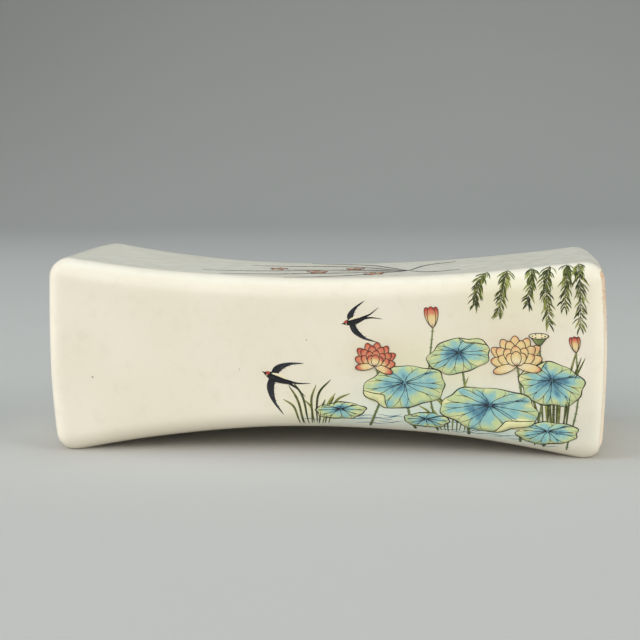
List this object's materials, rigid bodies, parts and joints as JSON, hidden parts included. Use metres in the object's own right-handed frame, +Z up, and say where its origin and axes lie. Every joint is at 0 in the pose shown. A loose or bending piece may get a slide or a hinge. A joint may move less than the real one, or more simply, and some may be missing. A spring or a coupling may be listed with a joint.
{
  "type": "porcelain pillow",
  "caption": "Waisted square-ended hollow porcelain pillow of luted clay slabs, with a dished headrest, an arched base and a steam vent in its bare end.",
  "frame": {"origin": "middle of the pillow's footprint, on the plane of its two ground foot lands", "axes": "+X along the pillow from its glazed end to its bare end, -Y out of the painted front, +Z up out of the headrest"},
  "size_m": [0.202, 0.0714, 0.071],
  "materials": {
    "glaze": "clear gloss glaze over white porcelain, warm cream, faintly mottled, with small iron specks",
    "biscuit": "bare fired porcelain, dry and fine grained, flushed orange along the glaze line",
    "enamel_ink": "black overglaze enamel line, satin",
    "enamel_green": "olive green overglaze enamel, glossy",
    "enamel_blue": "turquoise overglaze enamel, glossy",
    "enamel_coral": "iron red overglaze enamel, satin",
    "enamel_yellow": "pale yellow overglaze enamel, glossy"
  },
  "bodies": {
    "root": {"headrest_slab": "glaze", "front_slab": "glaze", "base_slab": "glaze", "back_slab": "glaze", "left_end_slab": "glaze", "right_end_slab": "biscuit", "coil_top_front": "biscuit", "coil_base_front": "biscuit", "coil_base_back": "biscuit", "coil_top_back": "biscuit", "coil_left_top": "biscuit", "coil_left_front": "biscuit", "coil_left_base": "biscuit", "coil_left_back": "biscuit", "coil_right_top": "biscuit", "coil_right_front": "biscuit", "coil_right_base": "biscuit", "coil_right_back": "biscuit"}
  },
  "joints": []
}
